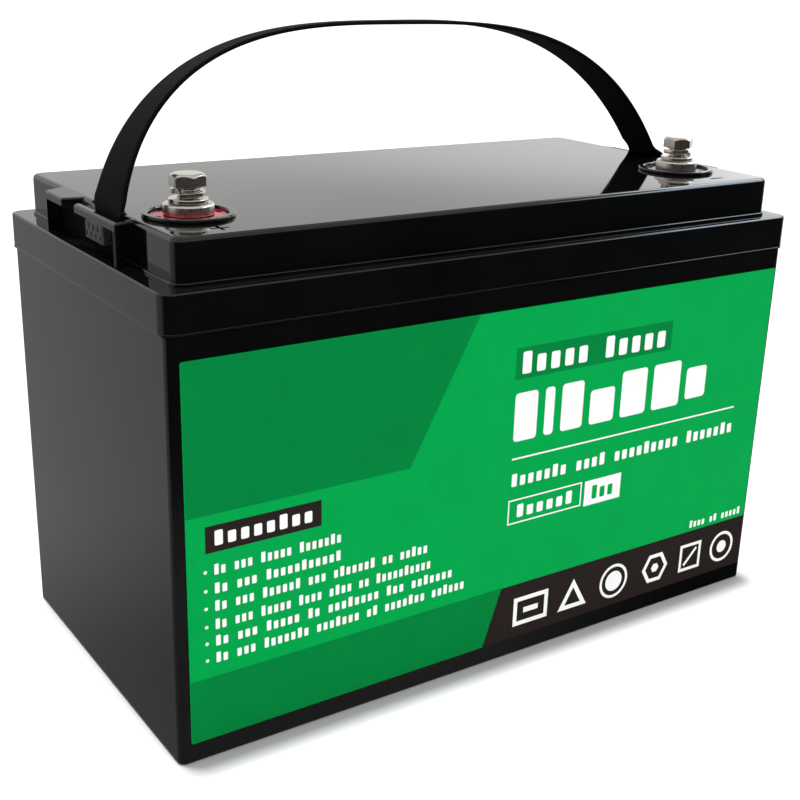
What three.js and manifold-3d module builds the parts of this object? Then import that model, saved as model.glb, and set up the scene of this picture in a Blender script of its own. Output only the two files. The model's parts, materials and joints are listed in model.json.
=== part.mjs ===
// Deep cycle battery: 12.8 V, 100 Ah lithium iron phosphate pack in a glossy ABS case with a
// webbing carry handle and two M8 bolt terminals. Millimetres, +Z up, origin on the floor under
// the middle of the case, +X along the length, the labelled front face towards -Y.
import * as THREE from "three";
import { mergeVertices } from "three/addons/utils/BufferGeometryUtils.js";
import Module from "manifold-3d";

const wasm = await Module();
wasm.setup();

// ---- driving dimensions ------------------------------------------------------------------
const GAP = 0.3;                 // clearance between pieces that touch
const LENGTH = 330;              // lid skirt, the longest size
const WIDTH = 172;
const DECK_TOP = 215;            // raised deck of the lid
const SHOULDER_TOP = 197;      // ledge round the deck
const SKIRT_BOTTOM = 181.2;      // seam between lid and case
const DECK_INSET = 8.6;          // skirt edge to the deck's end walls
const DECK_SIDE_INSET = 7.6;     // skirt edge to the deck's long walls
const SKIRT_RADIUS = 6;
const DECK_RADIUS = 5;
const CASE_OVERHANG = 1.3;       // the skirt stands proud of the case by this much
const CASE_RADIUS = 3.2;
const CASE_WALL = 4;
const FLOOR = 4;
const LID_WALL = 3;

const BOSS_REACH = 163.2;        // outer face of the handle bosses
const BOSS_HALF_WIDTH = 39.5;
const BOSS_TOP = 213.8;          // outer edge of the boss's top, which slopes up to the deck
const BOSS_RISE = 1.05;
const BOSS_PLATE = 3.3;
const BOSS_WALL = 2.5;
const BAR_WIDTH = 3.2;           // bar that holds the strap in its slot
const BAR_END = 5;               // free end of the bar, measured across the boss
const NOTCH_END = 19.7;          // far side of the notch that the strap slips in by

const STRAP_WIDTH = 25;
const STRAP_THICKNESS = 1.6;
const STRAP_FOOT_X = 158.3;
const STRAP_FOOT_Y = 15.5;       // each foot is this far off the middle, on opposite sides
const STRAP_ARCH_TOP = 284.1;
const STRAP_ARCH_BASE = 100;     // centre height of the arch's superellipse
const STRAP_ARCH_HALF = 170;
const STRAP_ARCH_POWER = 3.02;
const STRAP_LEAN = -15.8;        // the top of the arch leans this far to the left
const STRAP_TURN = 4.4;          // degrees between the arch's plane and the X axis
const STRAP_PLACE_Y = -3.5;      // the middle of the arch, seen from above
const STRAP_PIVOT_Z = 229;       // height that the webbing bends about when it swings
const WELD_WIDTH = 18.8;         // folded and welded end of the webbing
const WELD_BOTTOM = 202.6;

const POSITIVE_X = -133.5;
const NEGATIVE_X = 130;
const TERMINAL_Y = -41;
const BEZEL_RADIUS = 18.2;
const BEZEL_TOP = 216.6;
const POST_TOP = 220;
const POST_RADIUS = 10;
const POST_SHANK_RADIUS = 8;
const SCREW_RADIUS = 4;          // M8
const SCREW_FLATS = 13;
const SCREW_HEAD = 5.3;
const SCREW_SHANK = 15.5;
const FLAT_WASHER_RADIUS = 7.8;
const FLAT_WASHER = 1.6;
const SPRING_WASHER_RADIUS = 6.7;
const SPRING_WASHER = 3.6;
const POST_FOOT = 185;           // lower end of the post's stud
const STUD_TOP = 195.4;          // where the stud meets the thick part of the post
const COLLAR_BOTTOM = 215.7;
const POST_BORE_FLOOR = 203;
const POST_NUT_FLATS = 24;
const POST_NUT = 5;
const LUG_NUT = 6;
const SEAL_RADIUS = 12;
const LUG_PALM = 2.4;
const CUP_TOP = 215.4;

const LABEL_LEFT = -158.8;
const LABEL_RIGHT = 160.3;
const LABEL_BOTTOM = 9.5;
const LABEL_TOP = 171.3;
const LABEL_THICKNESS = 0.4;

const CELL = { x: 50, y: 158, z: 118, bottom: 9 };
const CELL_COUNT = 4;
const CELL_SPACER = 0.9;
const CELL_PAD_Y = 52;
const CELL_PAD_RADIUS = 9;
const CELL_PAD = 2.5;
const END_PLATE = 3;
const BUSBAR = { x: 70, y: 20, z: 2 };
const BAND = { z: 14, thickness: 0.6 };
const CABLE_RADIUS = 4.2;

const BLACK = { color: 0x0c0d0f, roughness: 0.16, metalness: 0 };
const NICKEL = { color: 0xc9c2b4, roughness: 0.22, metalness: 1 };
const STEEL = { color: 0xa8a9ab, roughness: 0.35, metalness: 1 };
const COPPER = { color: 0xb87340, roughness: 0.35, metalness: 1 };
const BRASS = { color: 0xb79a52, roughness: 0.3, metalness: 1 };
const ALUMINIUM = { color: 0xb4b7ba, roughness: 0.4, metalness: 1 };

const TURN = Math.PI * 2;
const ROUND = 28;                // facets on a full round
const caseLength = LENGTH - 2 * CASE_OVERHANG;
const caseWidth = WIDTH - 2 * CASE_OVERHANG;
const deckLength = LENGTH - 2 * DECK_INSET;
const deckWidth = WIDTH - 2 * DECK_SIDE_INSET;
const cellPitch = CELL.x + CELL_SPACER + 2 * GAP;
const cellTop = CELL.bottom + CELL.z;
const padTop = cellTop + CELL_PAD;
const stackHalf = ((CELL_COUNT - 1) * cellPitch + CELL.x) / 2;

const battery = new THREE.Group();

// ---- solids and booleans -----------------------------------------------------------------
function solid(geometry) {
  const bare = new THREE.BufferGeometry();
  bare.setAttribute("position", geometry.getAttribute("position").clone());
  if (geometry.index) bare.setIndex(geometry.index.clone());
  const merged = mergeVertices(bare, 1e-4);
  const vertProperties = new Float32Array(merged.getAttribute("position").array);
  const triVerts = new Uint32Array(merged.index.array);
  return new wasm.Manifold(new wasm.Mesh({ numProp: 3, vertProperties, triVerts }));
}

function geometryOf(body) {
  const mesh = body.getMesh();
  const geometry = new THREE.BufferGeometry();
  geometry.setAttribute("position", new THREE.BufferAttribute(mesh.vertProperties, 3));
  geometry.setIndex(new THREE.BufferAttribute(mesh.triVerts, 1));
  geometry.computeVertexNormals();
  return geometry;
}

function addPiece(group, name, shape, look) {
  const geometry = shape.isBufferGeometry ? shape : geometryOf(shape);
  const mesh = new THREE.Mesh(geometry, new THREE.MeshStandardMaterial(look));
  mesh.name = name;
  group.add(mesh);
  return mesh;
}

function roundedOutline(length, width, radius) {
  const x = length / 2 - radius;
  const y = width / 2 - radius;
  const outline = new THREE.Shape();
  outline.absarc(x, y, radius, 0, TURN / 4);
  outline.absarc(-x, y, radius, TURN / 4, TURN / 2);
  outline.absarc(-x, -y, radius, TURN / 2, (TURN * 3) / 4);
  outline.absarc(x, -y, radius, (TURN * 3) / 4, TURN);
  return outline;
}

// Upright block with rounded corners from bottom to top, its two rims chamfered by edge.
function block(length, width, bottom, top, radius, edge = 0) {
  const geometry = new THREE.ExtrudeGeometry(roundedOutline(length, width, radius), {
    depth: top - bottom - 2 * edge,
    bevelEnabled: edge > 0,
    bevelThickness: edge,
    bevelSize: edge,
    bevelOffset: -edge,
    bevelSegments: 2,
    curveSegments: 5,
  });
  geometry.translate(0, 0, bottom + edge);
  return geometry;
}

// Plain box between two corners.
function box(x0, x1, y0, y1, z0, z1) {
  const geometry = new THREE.BoxGeometry(x1 - x0, y1 - y0, z1 - z0);
  geometry.translate((x0 + x1) / 2, (y0 + y1) / 2, (z0 + z1) / 2);
  return geometry;
}

// Disc or tube about Z. A bore of 0 leaves it solid.
function turned(points, segments = ROUND) {
  const geometry = new THREE.LatheGeometry(points.map(([r, z]) => new THREE.Vector2(r, z)), segments);
  geometry.rotateX(TURN / 4);
  return geometry;
}

function disc(radius, bottom, top, segments = ROUND) {
  return turned([[0, bottom], [radius, bottom], [radius, top], [0, top]], segments);
}

function ring(bore, radius, bottom, top, edge = 0, segments = ROUND) {
  const profile = [[bore, bottom], [radius, bottom], [radius, top - edge]];
  if (edge > 0) profile.push([radius - edge, top]);
  profile.push([bore, top], [bore, bottom]);
  return turned(profile, segments);
}

function hexagon(flats, bottom, top, angle = 0) {
  const geometry = new THREE.CylinderGeometry(flats / Math.sqrt(3), flats / Math.sqrt(3), top - bottom, 6);
  geometry.rotateX(TURN / 4);
  geometry.rotateZ(angle);
  geometry.translate(0, 0, (top + bottom) / 2);
  return geometry;
}

// ---- case --------------------------------------------------------------------------------
const caseTop = SHOULDER_TOP - LID_WALL - 1.6;
const rebateLength = caseLength - 4;
const rebateWidth = caseWidth - 4;

function buildCase() {
  const outer = solid(block(caseLength, caseWidth, 0, SKIRT_BOTTOM - GAP, CASE_RADIUS, 1.2));
  const neck = solid(block(rebateLength, rebateWidth, FLOOR, caseTop, CASE_RADIUS));
  const inside = block(
    caseLength - 2 * CASE_WALL, caseWidth - 2 * CASE_WALL, FLOOR, caseTop + 1, CASE_RADIUS - 1);
  return outer.add(neck).subtract(solid(inside));
}

addPiece(battery, "case", buildCase(), BLACK);

// ---- lid ---------------------------------------------------------------------------------
// Everything at one end that holds the strap: a plate over a pocket, between two side walls.
function strapBoss() {
  const wallX = deckLength / 2 - 1;
  const plateBottom = BOSS_TOP - BOSS_PLATE;
  const side = new THREE.Shape([
    new THREE.Vector2(-BOSS_REACH, SHOULDER_TOP - 1),
    new THREE.Vector2(-wallX, SHOULDER_TOP - 1),
    new THREE.Vector2(-wallX, BOSS_TOP + BOSS_RISE),
    new THREE.Vector2(-BOSS_REACH, BOSS_TOP),
  ]);
  const body = new THREE.ExtrudeGeometry(side, { depth: 2 * BOSS_HALF_WIDTH, bevelEnabled: false });
  body.rotateX(TURN / 4);
  body.translate(0, BOSS_HALF_WIDTH, 0);
  const innerWall = BOSS_HALF_WIDTH - BOSS_WALL;
  const reach = BOSS_REACH + 1;
  const deckFace = deckLength / 2;
  const pocket = solid(box(-reach, -deckFace, -innerWall, innerWall, SHOULDER_TOP, plateBottom));
  const slot = solid(
    box(-BOSS_REACH + BAR_WIDTH, -deckFace, -innerWall, BAR_END + 1, plateBottom - 1, DECK_TOP + 1));
  const funnel = new THREE.Shape([
    new THREE.Vector2(-reach, BAR_END),
    new THREE.Vector2(-deckFace, BAR_END),
    new THREE.Vector2(-deckFace, NOTCH_END - 7),
    new THREE.Vector2(-reach, NOTCH_END),
  ]);
  const notch = new THREE.ExtrudeGeometry(funnel, { depth: BOSS_PLATE + 4, bevelEnabled: false });
  notch.translate(0, 0, plateBottom - 1);
  return solid(body).subtract(pocket).subtract(slot).subtract(solid(notch));
}

function polarityMark(isPositive) {
  const x = isPositive ? POSITIVE_X : NEGATIVE_X;
  const y = -68;
  const low = DECK_TOP - 0.5;
  const high = DECK_TOP + 0.5;
  const bar = solid(box(x - 4, x + 4, y - 0.8, y + 0.8, low, high));
  if (!isPositive) return bar;
  return bar.add(solid(box(x - 0.8, x + 0.8, y - 4, y + 4, low, high)));
}

const seatBottom = 205;
const cupBottom = 212.4;
const cupRadius = 15.5;
const spigotRadius = 16.4;
const shankBore = POST_SHANK_RADIUS + GAP;

function buildLid() {
  const skirt = solid(block(LENGTH, WIDTH, SKIRT_BOTTOM, SHOULDER_TOP, SKIRT_RADIUS, 0.9));
  const deck = solid(block(deckLength, deckWidth, SHOULDER_TOP - 3, DECK_TOP, DECK_RADIUS, 1.2));
  const boss = strapBoss();
  let lid = skirt.add(deck).add(boss).add(boss.rotate([0, 0, 180]));
  const mouthLength = rebateLength + 2 * GAP;
  const mouthWidth = rebateWidth + 2 * GAP;
  const mouth = block(mouthLength, mouthWidth, SKIRT_BOTTOM - 1, SHOULDER_TOP - LID_WALL, CASE_RADIUS);
  const hollowLength = deckLength - 2 * LID_WALL;
  const hollowWidth = deckWidth - 2 * LID_WALL;
  const hollow = block(hollowLength, hollowWidth, SKIRT_BOTTOM, DECK_TOP - LID_WALL, DECK_RADIUS - 2);
  lid = lid.subtract(solid(mouth)).subtract(solid(hollow));
  for (const x of [POSITIVE_X, NEGATIVE_X]) {
    const place = [x, TERMINAL_Y, 0];
    lid = lid.add(solid(disc(22, seatBottom, DECK_TOP - 1)).translate(place));
    lid = lid.subtract(solid(disc(spigotRadius + GAP, cupBottom, DECK_TOP + 1)).translate(place));
    lid = lid.subtract(solid(disc(shankBore, seatBottom - 1, DECK_TOP)).translate(place));
  }
  return lid.subtract(polarityMark(true)).subtract(polarityMark(false));
}

addPiece(battery, "lid", buildLid(), { ...BLACK, roughness: 0.06 });

function buildGasket() {
  const outer = solid(
    block(rebateLength, rebateWidth, caseTop + GAP, SHOULDER_TOP - LID_WALL - GAP, CASE_RADIUS));
  const inner = block(
    caseLength - 2 * CASE_WALL, caseWidth - 2 * CASE_WALL, caseTop, SHOULDER_TOP, CASE_RADIUS - 1);
  return outer.subtract(solid(inner));
}

addPiece(battery, "lid_gasket", buildGasket(), { color: 0x1a1a1a, roughness: 0.85, metalness: 0 });

// ---- front label -------------------------------------------------------------------------
const labelBack = -caseWidth / 2 - GAP;
addPiece(
  battery,
  "front_label",
  box(LABEL_LEFT, LABEL_RIGHT, labelBack - LABEL_THICKNESS, labelBack, LABEL_BOTTOM, LABEL_TOP),
  { color: 0x049c48, roughness: 0.35, metalness: 0 });

// ---- carry strap -------------------------------------------------------------------------
// Point on the middle of the webbing, on a superellipse; angle 0 is the right foot.
function archPoint(angle) {
  const power = 2 / STRAP_ARCH_POWER;
  const across = Math.cos(angle);
  const z = STRAP_ARCH_BASE + (STRAP_ARCH_TOP - STRAP_ARCH_BASE) * Math.pow(Math.sin(angle), power);
  const lean = (STRAP_LEAN * (z - DECK_TOP)) / (STRAP_ARCH_TOP - DECK_TOP);
  const x = Math.sign(across) * STRAP_ARCH_HALF * Math.pow(Math.abs(across), power);
  return new THREE.Vector2(x + lean, z);
}

// Band of even thickness along the arch, from the right foot over the top to the left foot.
function archBand(footHeight, steps) {
  const power = STRAP_ARCH_POWER / 2;
  const rise = (footHeight - STRAP_ARCH_BASE) / (STRAP_ARCH_TOP - STRAP_ARCH_BASE);
  const start = Math.asin(Math.pow(rise, power));
  const middle = [];
  for (let i = 0; i <= steps; i += 1) {
    middle.push(archPoint(start + ((Math.PI - 2 * start) * i) / steps));
  }
  const outer = [];
  const inner = [];
  for (let i = 0; i <= steps; i += 1) {
    const before = middle[Math.max(i - 1, 0)];
    const after = middle[Math.min(i + 1, steps)];
    const along = after.clone().sub(before).normalize();
    const normal = new THREE.Vector2(along.y, -along.x).multiplyScalar(STRAP_THICKNESS / 2);
    outer.push(middle[i].clone().add(normal));
    inner.push(middle[i].clone().sub(normal));
  }
  return new THREE.Shape([...outer, ...inner.reverse()]);
}

function buildStrap() {
  const foot = STRAP_PIVOT_Z - STRAP_WIDTH / 2;
  const band = new THREE.ExtrudeGeometry(archBand(foot - 0.4, 44), {
    depth: STRAP_WIDTH,
    bevelEnabled: false,
  });
  band.rotateX(TURN / 4);
  band.translate(0, STRAP_WIDTH / 2, 0);
  const roundEnds = new THREE.CylinderGeometry(STRAP_WIDTH / 2, STRAP_WIDTH / 2, LENGTH, 24);
  roundEnds.rotateZ(TURN / 4);
  roundEnds.translate(0, 0, STRAP_PIVOT_Z);
  const above = box(-LENGTH / 2, LENGTH / 2, -WIDTH / 2, WIDTH / 2, STRAP_PIVOT_Z, STRAP_ARCH_TOP + 10);
  const keep = solid(roundEnds).add(solid(above));
  return solid(band).intersect(keep);
}

const strap = addPiece(battery, "handle_strap", buildStrap(), {
  color: 0x121212, roughness: 0.9, metalness: 0 });
strap.rotation.z = (STRAP_TURN * TURN) / 360;
strap.position.y = STRAP_PLACE_Y;

// Webbing end below the pivot: it hangs through the slot and is folded outwards into a welded block.
function buildStrapEnd() {
  const half = STRAP_THICKNESS / 2;
  const top = STRAP_PIVOT_Z - STRAP_WIDTH / 2 - GAP;
  const weldTop = BOSS_TOP - BOSS_PLATE - GAP;
  const tail = solid(box(-half, half, -STRAP_WIDTH / 2, STRAP_WIDTH / 2, WELD_BOTTOM + 0.4, top));
  const fold = box(
    -BOSS_REACH + STRAP_FOOT_X + 0.5, half, -WELD_WIDTH / 2, WELD_WIDTH / 2, WELD_BOTTOM, weldTop);
  return tail.add(solid(fold));
}

for (const [name, side] of [["strap_end_left", 0], ["strap_end_right", 1]]) {
  const end = addPiece(battery, name, buildStrapEnd(), { color: 0x3a3b3b, roughness: 0.75, metalness: 0 });
  const sign = side === 0 ? -1 : 1;
  end.position.set(sign * STRAP_FOOT_X, sign * STRAP_FOOT_Y, 0);
  end.rotation.z = (side * TURN) / 2;
}

// ---- terminals ---------------------------------------------------------------------------
function insertCup(bottom, top) {
  let cup = solid(ring(shankBore + 0.4, cupRadius - GAP, bottom, top));
  for (let i = 0; i < 6; i += 1) {
    const angle = (i * TURN) / 6;
    const slot = new THREE.CylinderGeometry(1, 1, 4, 12);
    slot.rotateX(TURN / 4);
    slot.scale(1, 1.9, 1);
    slot.translate(12.1, 0, top + 1);
    slot.rotateZ(angle);
    cup = cup.subtract(solid(slot));
  }
  return cup;
}

function buildPost() {
  const bore = SCREW_RADIUS + GAP;
  return turned([
    [0, POST_FOOT], [SCREW_RADIUS, POST_FOOT], [SCREW_RADIUS, STUD_TOP], [POST_SHANK_RADIUS, STUD_TOP],
    [POST_SHANK_RADIUS, COLLAR_BOTTOM], [POST_RADIUS - 0.5, COLLAR_BOTTOM],
    [POST_RADIUS, COLLAR_BOTTOM + 0.5], [POST_RADIUS, POST_TOP - 0.6], [POST_RADIUS - 0.6, POST_TOP],
    [bore, POST_TOP], [bore, POST_BORE_FLOOR], [0, POST_BORE_FLOOR],
  ]);
}

function buildSpringWasher(bottom) {
  const whole = solid(ring(SCREW_RADIUS + GAP, SPRING_WASHER_RADIUS, bottom, bottom + SPRING_WASHER));
  const split = new THREE.BoxGeometry(SPRING_WASHER_RADIUS, 1, SPRING_WASHER * 3);
  split.rotateX(0.3);
  split.translate(SPRING_WASHER_RADIUS - 1, 0, bottom);
  return whole.subtract(solid(split));
}

function buildBolt(headBottom) {
  const top = headBottom + SCREW_HEAD;
  const corner = SCREW_FLATS / Math.sqrt(3);
  const crown = turned([
    [0, headBottom], [corner, headBottom], [corner, top - 1.1], [SCREW_FLATS / 2 - 0.4, top], [0, top]]);
  const head = solid(hexagon(SCREW_FLATS, headBottom, top, 0.2)).intersect(solid(crown));
  const shank = disc(SCREW_RADIUS, headBottom - SCREW_SHANK, headBottom + 1, 24);
  return head.add(solid(shank));
}

function hexNut(flats, bore, bottom, top) {
  return solid(hexagon(flats, bottom, top)).subtract(solid(disc(bore, bottom - 1, top + 1)));
}

function buildTerminal(prefix, x, cupColour) {
  const terminal = new THREE.Group();
  terminal.position.set(x, TERMINAL_Y, 0);
  const shoulder = DECK_TOP + GAP;
  const bezel = turned([
    [cupRadius, cupBottom + GAP], [spigotRadius, cupBottom + GAP], [spigotRadius, shoulder],
    [BEZEL_RADIUS - 0.2, shoulder], [BEZEL_RADIUS, shoulder + 0.5], [BEZEL_RADIUS - 0.6, BEZEL_TOP],
    [cupRadius + 0.5, BEZEL_TOP], [cupRadius, BEZEL_TOP - 0.5], [cupRadius, cupBottom + GAP]]);
  const washerBottom = POST_TOP + GAP;
  const springBottom = washerBottom + FLAT_WASHER + GAP;
  const headBottom = springBottom + SPRING_WASHER + GAP;
  const nutTop = seatBottom - 2;
  const lugTop = STUD_TOP - GAP;
  addPiece(terminal, `${prefix}_terminal_bezel`, bezel, { ...BLACK, roughness: 0.12 });
  addPiece(terminal, `${prefix}_terminal_cup`, insertCup(cupBottom + GAP, CUP_TOP), {
    color: cupColour, roughness: 0.3, metalness: 0 });
  addPiece(terminal, `${prefix}_terminal_post`, buildPost(), {
    color: 0xcfc9bb, roughness: 0.34, metalness: 1 });
  const seal = ring(shankBore, SEAL_RADIUS, seatBottom - 1.7, seatBottom - GAP);
  addPiece(terminal, `${prefix}_post_seal`, seal, { color: 0x2a2a2a, roughness: 0.9, metalness: 0 });
  const postNut = hexNut(POST_NUT_FLATS, shankBore, nutTop - POST_NUT, nutTop);
  const lugNutTop = lugTop - LUG_PALM - GAP;
  const lugNut = hexNut(SCREW_FLATS, SCREW_RADIUS + GAP, lugNutTop - LUG_NUT, lugNutTop);
  addPiece(terminal, `${prefix}_post_nut`, postNut, BRASS);
  const flatWasher = ring(SCREW_RADIUS + GAP, FLAT_WASHER_RADIUS, washerBottom, washerBottom + FLAT_WASHER);
  addPiece(terminal, `${prefix}_flat_washer`, flatWasher, NICKEL);
  addPiece(terminal, `${prefix}_spring_washer`, buildSpringWasher(springBottom), NICKEL);
  addPiece(terminal, `${prefix}_bolt`, buildBolt(headBottom), NICKEL);
  addPiece(terminal, `${prefix}_cable_lug`, cableLug(lugTop), COPPER);
  addPiece(terminal, `${prefix}_lug_nut`, lugNut, STEEL);
  battery.add(terminal);
}

// Flat ring lug with a barrel that points to +Y.
function cableLug(top) {
  const bottom = top - LUG_PALM;
  const barrelStart = 12;
  const barrelEnd = 26;
  const palm = solid(disc(8, bottom, top)).add(solid(box(-6, 6, 0, barrelStart + 1, bottom, top)));
  const barrelRadius = CABLE_RADIUS + 1;
  const barrel = new THREE.CylinderGeometry(barrelRadius, barrelRadius, barrelEnd - barrelStart, 16);
  barrel.translate(0, (barrelStart + barrelEnd) / 2, top - barrelRadius);
  const bore = new THREE.CylinderGeometry(CABLE_RADIUS - 0.4, CABLE_RADIUS - 0.4, 10, 16);
  bore.translate(0, barrelEnd - 4, top - barrelRadius);
  const lug = palm.add(solid(barrel)).subtract(solid(bore));
  return lug.subtract(solid(disc(SCREW_RADIUS + GAP, bottom - 1, top + 1)));
}

buildTerminal("positive", POSITIVE_X, 0xa81420);
buildTerminal("negative", NEGATIVE_X, 0x17181a);

// ---- cell pack ---------------------------------------------------------------------------
const cellX = (index) => (index - (CELL_COUNT - 1) / 2) * cellPitch;

function buildCell() {
  let cell = solid(block(CELL.x, CELL.y, CELL.bottom, cellTop, 1.5));
  for (const y of [-CELL_PAD_Y, CELL_PAD_Y]) {
    cell = cell.add(solid(disc(CELL_PAD_RADIUS, cellTop - 1, padTop, 20)).translate([0, y, 0]));
  }
  return cell;
}

for (let i = 0; i < CELL_COUNT; i += 1) {
  const cell = addPiece(battery, `cell_${i + 1}`, buildCell(), {
    color: 0x2557a0, roughness: 0.45, metalness: 0.2 });
  cell.position.x = cellX(i);
}

for (let i = 0; i < CELL_COUNT - 1; i += 1) {
  const middle = (cellX(i) + cellX(i + 1)) / 2;
  const side = i % 2 === 0 ? 1 : -1;
  const sheet = box(-CELL_SPACER / 2, CELL_SPACER / 2, -CELL.y / 2, CELL.y / 2, CELL.bottom, cellTop);
  const bar = box(
    -BUSBAR.x / 2, BUSBAR.x / 2, -BUSBAR.y / 2, BUSBAR.y / 2, padTop + GAP, padTop + GAP + BUSBAR.z);
  const spacer = addPiece(battery, `cell_spacer_${i + 1}`, sheet, {
    color: 0xd9d4c6, roughness: 0.7, metalness: 0 });
  const busbar = addPiece(battery, `busbar_${i + 1}`, bar, ALUMINIUM);
  spacer.position.x = middle;
  busbar.position.set(middle, side * CELL_PAD_Y, 0);
}

const plateInner = stackHalf + GAP;
const plateOuter = plateInner + END_PLATE;
const bandInner = plateOuter + GAP;

for (const [name, sign] of [["end_plate_left", -1], ["end_plate_right", 1]]) {
  const plate = box(-END_PLATE / 2, END_PLATE / 2, -CELL.y / 2, CELL.y / 2, CELL.bottom, cellTop - 4);
  const piece = addPiece(battery, name, plate, { color: 0x6f7f4a, roughness: 0.6, metalness: 0 });
  piece.position.x = sign * (plateInner + END_PLATE / 2);
}

for (const [name, z] of [["pack_band_lower", 36], ["pack_band_upper", 92]]) {
  const innerX = 2 * bandInner;
  const innerY = CELL.y + 2 * GAP;
  const outer = solid(block(innerX + 2 * BAND.thickness, innerY + 2 * BAND.thickness, z, z + BAND.z, 1));
  addPiece(battery, name, outer.subtract(solid(block(innerX, innerY, z - 1, z + BAND.z + 1, 0.5))), STEEL);
}

const packEnd = bandInner + BAND.thickness + GAP;
const innerHalf = caseLength / 2 - CASE_WALL - GAP;
const foamLook = { color: 0x2d2e30, roughness: 0.95, metalness: 0 };
addPiece(
  battery,
  "base_foam",
  box(-innerHalf + 2, innerHalf - 2, -CELL.y / 2, CELL.y / 2, FLOOR + GAP, CELL.bottom - GAP),
  foamLook);
for (const [name, sign] of [["end_foam_left", -1], ["end_foam_right", 1]]) {
  const half = (innerHalf - packEnd) / 2;
  const foam = addPiece(
    battery, name, box(-half, half, -CELL.y / 2, CELL.y / 2, CELL.bottom, cellTop - 8), foamLook);
  foam.position.x = sign * (packEnd + half);
}

// Flat tabs that carry the pack's two ends out past the end plates.
const tabTop = padTop + GAP + BUSBAR.z;
const tabEnd = packEnd + 9;
for (const [name, sign] of [["pack_tab_positive", -1], ["pack_tab_negative", 1]]) {
  const inner = stackHalf - CELL.x / 2 - CELL_PAD_RADIUS;
  const half = (tabEnd - inner) / 2;
  const tab = addPiece(
    battery, name, box(-half, half, -BUSBAR.y / 2, BUSBAR.y / 2, padTop + GAP, tabTop), ALUMINIUM);
  tab.position.set(sign * (inner + half), -CELL_PAD_Y, 0);
}

// ---- battery management board ------------------------------------------------------------
const BOARD_EDGE = 74;
const trayBottom = padTop + BUSBAR.z + 2 * GAP + 1;
const trayTop = trayBottom + 2.5;
const boardBottom = trayTop + 5;
const boardTop = boardBottom + 1.8;

function buildTray() {
  let tray = solid(block(206, 140, trayBottom, trayTop, 4));
  for (const x of [-66, 66]) {
    for (const y of [-38, 38]) {
      tray = tray.add(solid(disc(3.5, trayTop - 1, boardBottom - GAP, 12)).translate([x, y, 0]));
    }
  }
  return tray;
}

function buildHeatSink() {
  let sink = solid(box(-60, 60, -36, 30, boardTop + GAP, boardTop + 3));
  for (let i = 0; i < 8; i += 1) {
    const y = -34 + i * 8.8;
    sink = sink.add(solid(box(-60, 60, y - 0.9, y + 0.9, boardTop + 2, boardTop + 12)));
  }
  return sink;
}

addPiece(battery, "board_tray", buildTray(), { color: 0x303236, roughness: 0.6, metalness: 0 });
addPiece(battery, "management_board", block(150, 92, boardBottom, boardTop, 2), {
  color: 0x14492e, roughness: 0.45, metalness: 0 });
addPiece(battery, "board_heat_sink", buildHeatSink(), ALUMINIUM);
addPiece(battery, "sense_connector", box(-14, 14, 34, 42, boardTop + GAP, boardTop + 9), {
  color: 0xe6e2d6, roughness: 0.5, metalness: 0 });
for (const [name, y] of [["board_terminal_output", 12], ["board_terminal_pack", -16]]) {
  addPiece(battery, name, box(62, BOARD_EDGE, y - 6, y + 6, boardTop + GAP, boardTop + 9), BRASS);
}
addPiece(battery, "temperature_probe", box(-3, 3, 2, 20, cellTop + GAP, cellTop + 3.6), {
  color: 0x111111, roughness: 0.5, metalness: 0 });

// ---- inner cables ------------------------------------------------------------------------
function buildCable(points, steps) {
  const path = new THREE.CatmullRomCurve3(points.map((p) => new THREE.Vector3(...p)), false, "centripetal");
  const section = new THREE.Shape();
  section.absarc(0, 0, wire, 0, TURN);
  return new THREE.ExtrudeGeometry(section, {
    extrudePath: path,
    steps,
    curveSegments: 5,
    bevelEnabled: false,
  });
}

// First points of a cable, straight out of its terminal's lug.
function lugExit(x) {
  const z = STUD_TOP - GAP - CABLE_RADIUS - 1;
  return [19, 25, 30, 35].map((ahead) => [x, TERMINAL_Y + ahead, z]);
}

const cableLook = { color: 0xb01c1c, roughness: 0.6, metalness: 0 };
const wire = CABLE_RADIUS - 0.9;
const tabRest = tabTop + GAP + wire + 0.5;
const boardRest = boardTop + 5;
const blockFace = BOARD_EDGE + GAP;
const tabX = packEnd + 4;

addPiece(battery, "positive_cable", buildCable([
  ...lugExit(POSITIVE_X), [-128, 8, 178], [-124, -8, 158], [-tabX - 3, -30, tabRest + 3],
  [-tabX, -43, tabRest], [-tabX, -61, tabRest]], 22), cableLook);
addPiece(battery, "negative_cable", buildCable([
  ...lugExit(NEGATIVE_X), [128, 10, 176], [112, 13, 160], [92, 12, boardRest],
  [blockFace + 6, 12, boardRest], [blockFace, 12, boardRest]], 22), { ...cableLook, color: 0x151515 });
addPiece(battery, "pack_negative_cable", buildCable([
  [tabX, -61, tabRest], [tabX, -43, tabRest], [tabX + 3, -30, tabRest + 6], [102, -18, boardRest - 2],
  [92, -16, boardRest], [blockFace + 6, -16, boardRest], [blockFace, -16, boardRest]], 18),
  { ...cableLook, color: 0x151515 });

export default battery;
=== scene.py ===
import json
import math

import bpy
from mathutils import Matrix, Vector
from mathutils.geometry import tessellate_polygon


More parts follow.
